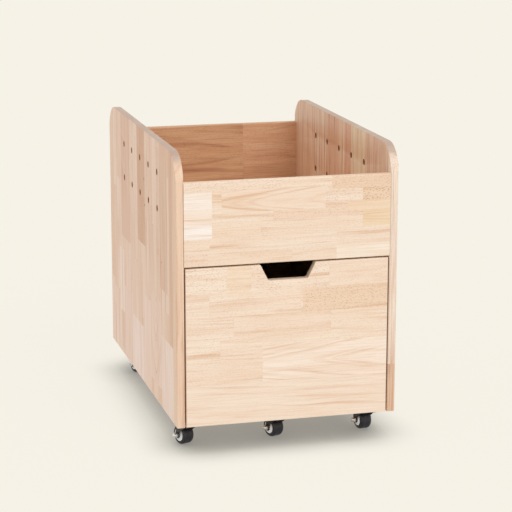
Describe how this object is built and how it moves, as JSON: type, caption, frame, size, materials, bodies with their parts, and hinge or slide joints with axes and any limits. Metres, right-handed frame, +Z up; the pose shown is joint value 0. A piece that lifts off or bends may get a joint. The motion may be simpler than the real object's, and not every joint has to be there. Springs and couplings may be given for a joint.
{
  "type": "bookcase trolley",
  "caption": "Wooden bookcase trolley on swivel castors: an open book bin between tall rounded sides with holes, over a deep drawer with a finger pull.",
  "frame": {"origin": "on the floor under the middle of the case", "axes": "+Z up, the drawer front faces -Y, +X to the right seen from the front"},
  "size_m": [0.42, 0.64, 0.565],
  "materials": {
    "front_wood": "clear satin lacquer on sanded finger-jointed board, grain level",
    "side_wood": "clear satin lacquer on sanded finger-jointed board, grain upright",
    "inside_wood": "clear satin lacquer on sanded finger-jointed board",
    "dowel_wood": "plain fluted beech",
    "plywood": "sanded birch plywood",
    "zinc_steel": "zinc-plated rolled steel",
    "bright_steel": "bright plated steel",
    "black_steel": "black e-coated pressed steel",
    "black_rubber": "moulded rubber",
    "white_nylon": "moulded nylon"
  },
  "bodies": {
    "case": {"left_side": "side_wood", "right_side": "side_wood", "front_panel": "front_wood", "back_panel": "inside_wood", "bin_floor": "inside_wood", "bottom_board": "inside_wood", "case_dowels": "dowel_wood", "left_outer_rail": "zinc_steel", "right_outer_rail": "zinc_steel", "case_rail_screws": "zinc_steel", "castor_screws": "zinc_steel", "castor_kingpins": "zinc_steel", "castor_race_balls": "bright_steel", "front_left_plate": "black_steel", "front_middle_plate": "black_steel", "front_right_plate": "black_steel", "rear_left_plate": "black_steel", "rear_middle_plate": "black_steel", "rear_right_plate": "black_steel"},
    "drawer": {"drawer_front": "front_wood", "drawer_left_side": "inside_wood", "drawer_right_side": "inside_wood", "drawer_back": "inside_wood", "drawer_bottom": "plywood", "drawer_dowels": "dowel_wood", "drawer_bottom_screws": "zinc_steel", "left_inner_rail": "zinc_steel", "right_inner_rail": "zinc_steel", "drawer_rail_screws": "zinc_steel"},
    "left_middle_rail": {"left_middle_rail": "zinc_steel"},
    "left_outer_ball_cage": {"left_outer_ball_cage": "bright_steel"},
    "left_inner_ball_cage": {"left_inner_ball_cage": "bright_steel"},
    "right_middle_rail": {"right_middle_rail": "zinc_steel"},
    "right_outer_ball_cage": {"right_outer_ball_cage": "bright_steel"},
    "right_inner_ball_cage": {"right_inner_ball_cage": "bright_steel"},
    "front_left_swivel": {"front_left_fork": "black_steel", "front_left_axle": "bright_steel"},
    "front_left_wheel": {"front_left_core": "white_nylon", "front_left_tyre": "black_rubber"},
    "front_middle_swivel": {"front_middle_fork": "black_steel", "front_middle_axle": "bright_steel"},
    "front_middle_wheel": {"front_middle_core": "white_nylon", "front_middle_tyre": "black_rubber"},
    "front_right_swivel": {"front_right_fork": "black_steel", "front_right_axle": "bright_steel"},
    "front_right_wheel": {"front_right_core": "white_nylon", "front_right_tyre": "black_rubber"},
    "rear_left_swivel": {"rear_left_fork": "black_steel", "rear_left_axle": "bright_steel"},
    "rear_left_wheel": {"rear_left_core": "white_nylon", "rear_left_tyre": "black_rubber"},
    "rear_middle_swivel": {"rear_middle_fork": "black_steel", "rear_middle_axle": "bright_steel"},
    "rear_middle_wheel": {"rear_middle_core": "white_nylon", "rear_middle_tyre": "black_rubber"},
    "rear_right_swivel": {"rear_right_fork": "black_steel", "rear_right_axle": "bright_steel"},
    "rear_right_wheel": {"rear_right_core": "white_nylon", "rear_right_tyre": "black_rubber"}
  },
  "joints": [
    {"name": "drawer_slide", "type": "slide", "parent": "case", "child": "drawer", "axis": [0, -1, 0], "range_m": [0, 0.54]},
    {"name": "left_middle_rail_slide", "type": "slide", "parent": "case", "child": "left_middle_rail", "axis": [0, -1, 0], "range_m": [0, 0.27]},
    {"name": "left_outer_ball_cage_slide", "type": "slide", "parent": "case", "child": "left_outer_ball_cage", "axis": [0, -1, 0], "range_m": [0, 0.135]},
    {"name": "left_inner_ball_cage_slide", "type": "slide", "parent": "case", "child": "left_inner_ball_cage", "axis": [0, -1, 0], "range_m": [0, 0.405]},
    {"name": "right_middle_rail_slide", "type": "slide", "parent": "case", "child": "right_middle_rail", "axis": [0, -1, 0], "range_m": [0, 0.27]},
    {"name": "right_outer_ball_cage_slide", "type": "slide", "parent": "case", "child": "right_outer_ball_cage", "axis": [0, -1, 0], "range_m": [0, 0.135]},
    {"name": "right_inner_ball_cage_slide", "type": "slide", "parent": "case", "child": "right_inner_ball_cage", "axis": [0, -1, 0], "range_m": [0, 0.405]},
    {"name": "front_left_turn", "type": "hinge", "parent": "case", "child": "front_left_swivel", "pos_m": [-0.175, -0.255, 0.056], "axis": [0, 0, 1], "continuous": true},
    {"name": "front_left_roll", "type": "hinge", "parent": "front_left_swivel", "child": "front_left_wheel", "pos_m": [-0.18062, -0.24109, 0.019], "axis": [0.9272, 0.3746, 0], "continuous": true},
    {"name": "front_middle_turn", "type": "hinge", "parent": "case", "child": "front_middle_swivel", "pos_m": [0, -0.255, 0.056], "axis": [0, 0, 1], "continuous": true},
    {"name": "front_middle_roll", "type": "hinge", "parent": "front_middle_swivel", "child": "front_middle_wheel", "pos_m": [-0.00513, -0.24091, 0.019], "axis": [0.9397, 0.342, 0], "continuous": true},
    {"name": "front_right_turn", "type": "hinge", "parent": "case", "child": "front_right_swivel", "pos_m": [0.175, -0.255, 0.056], "axis": [0, 0, 1], "continuous": true},
    {"name": "front_right_roll", "type": "hinge", "parent": "front_right_swivel", "child": "front_right_wheel", "pos_m": [0.17265, -0.24019, 0.019], "axis": [0.9877, 0.1564, 0], "continuous": true},
    {"name": "rear_left_turn", "type": "hinge", "parent": "case", "child": "rear_left_swivel", "pos_m": [-0.175, 0.255, 0.056], "axis": [0, 0, 1], "continuous": true},
    {"name": "rear_left_roll", "type": "hinge", "parent": "rear_left_swivel", "child": "rear_left_wheel", "pos_m": [-0.17112, 0.24051, 0.019], "axis": [-0.9659, -0.2588, 0], "continuous": true},
    {"name": "rear_middle_turn", "type": "hinge", "parent": "case", "child": "rear_middle_swivel", "pos_m": [0, 0.255, 0.056], "axis": [0, 0, 1], "continuous": true},
    {"name": "rear_middle_roll", "type": "hinge", "parent": "rear_middle_swivel", "child": "rear_middle_wheel", "pos_m": [0.00312, 0.26967, 0.019], "axis": [0.9781, -0.2079, 0], "continuous": true},
    {"name": "rear_right_turn", "type": "hinge", "parent": "case", "child": "rear_right_swivel", "pos_m": [0.175, 0.255, 0.056], "axis": [0, 0, 1], "continuous": true},
    {"name": "rear_right_roll", "type": "hinge", "parent": "rear_right_swivel", "child": "rear_right_wheel", "pos_m": [0.17265, 0.26982, 0.019], "axis": [0.9877, 0.1564, 0], "continuous": true}
  ],
  "couplings": [
    {"joint": "left_middle_rail_slide", "follows": "drawer_slide", "ratio": 0.5},
    {"joint": "left_outer_ball_cage_slide", "follows": "drawer_slide", "ratio": 0.25},
    {"joint": "left_inner_ball_cage_slide", "follows": "drawer_slide", "ratio": 0.75},
    {"joint": "right_middle_rail_slide", "follows": "drawer_slide", "ratio": 0.5},
    {"joint": "right_outer_ball_cage_slide", "follows": "drawer_slide", "ratio": 0.25},
    {"joint": "right_inner_ball_cage_slide", "follows": "drawer_slide", "ratio": 0.75}
  ]
}
